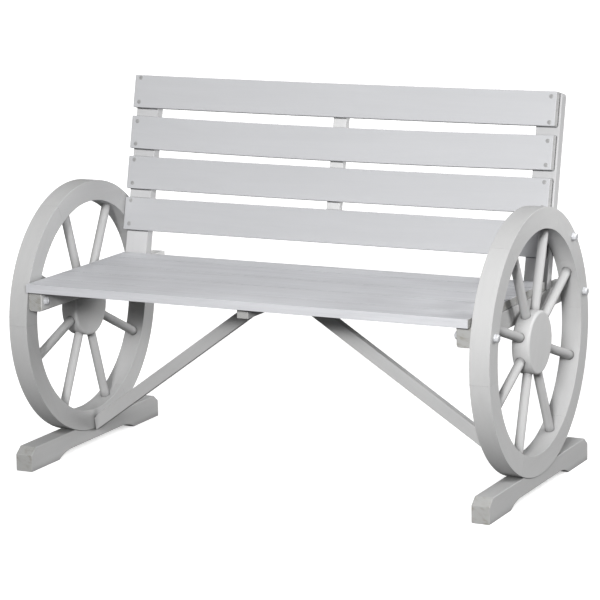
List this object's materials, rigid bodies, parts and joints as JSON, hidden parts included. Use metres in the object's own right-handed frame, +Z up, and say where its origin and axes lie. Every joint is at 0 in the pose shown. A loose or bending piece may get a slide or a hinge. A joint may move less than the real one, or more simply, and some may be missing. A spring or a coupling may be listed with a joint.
{
  "type": "wagon wheel bench",
  "caption": "Slatted timber garden bench with a sloping back, carried between spoked wagon wheels that stand in chamfered feet and are bolted to its rails and posts.",
  "frame": {"origin": "on the floor under the middle of the bench's bounding box", "axes": "+X along the seat to a sitter's left hand, which is the picture's right, +Y from the seat's front to its back, +Z up"},
  "size_m": [1.1522, 0.5756, 0.8253],
  "materials": {
    "wheel_paint": "matt light grey paint",
    "board_paint": "matt light grey paint",
    "frame_paint": "matt light grey paint",
    "zinc": "bright zinc plate"
  },
  "bodies": {
    "root": {"left_felloe_1": "wheel_paint", "left_felloe_2": "wheel_paint", "left_felloe_3": "wheel_paint", "left_felloe_4": "wheel_paint", "left_felloe_5": "wheel_paint", "left_felloe_6": "wheel_paint", "right_felloe_1": "wheel_paint", "right_felloe_2": "wheel_paint", "right_felloe_3": "wheel_paint", "right_felloe_4": "wheel_paint", "right_felloe_5": "wheel_paint", "right_felloe_6": "wheel_paint", "left_spoke_1": "wheel_paint", "left_spoke_2": "wheel_paint", "left_spoke_3": "wheel_paint", "left_spoke_4": "wheel_paint", "left_spoke_5": "wheel_paint", "left_spoke_6": "wheel_paint", "left_spoke_7": "wheel_paint", "left_spoke_8": "wheel_paint", "right_spoke_1": "wheel_paint", "right_spoke_2": "wheel_paint", "right_spoke_3": "wheel_paint", "right_spoke_4": "wheel_paint", "right_spoke_5": "wheel_paint", "right_spoke_6": "wheel_paint", "right_spoke_7": "wheel_paint", "right_spoke_8": "wheel_paint", "left_hub": "wheel_paint", "right_hub": "wheel_paint", "left_foot": "frame_paint", "right_foot": "frame_paint", "seat_board_front": "board_paint", "seat_board_middle_1": "board_paint", "seat_board_middle_2": "board_paint", "seat_board_middle_3": "board_paint", "seat_board_back": "board_paint", "left_seat_rail": "frame_paint", "right_seat_rail": "frame_paint", "seat_batten": "frame_paint", "back_slat_1": "board_paint", "back_slat_2": "board_paint", "back_slat_3": "board_paint", "back_slat_4": "board_paint", "left_post": "frame_paint", "right_post": "frame_paint", "back_batten": "frame_paint", "left_brace": "frame_paint", "right_brace": "frame_paint", "left_front_rail_bolt": "zinc", "left_rear_rail_bolt": "zinc", "left_post_bolt": "zinc", "right_front_rail_bolt": "zinc", "right_rear_rail_bolt": "zinc", "right_post_bolt": "zinc", "left_front_rail_nut": "zinc", "left_rear_rail_nut": "zinc", "right_front_rail_nut": "zinc", "right_rear_rail_nut": "zinc"}
  },
  "joints": []
}
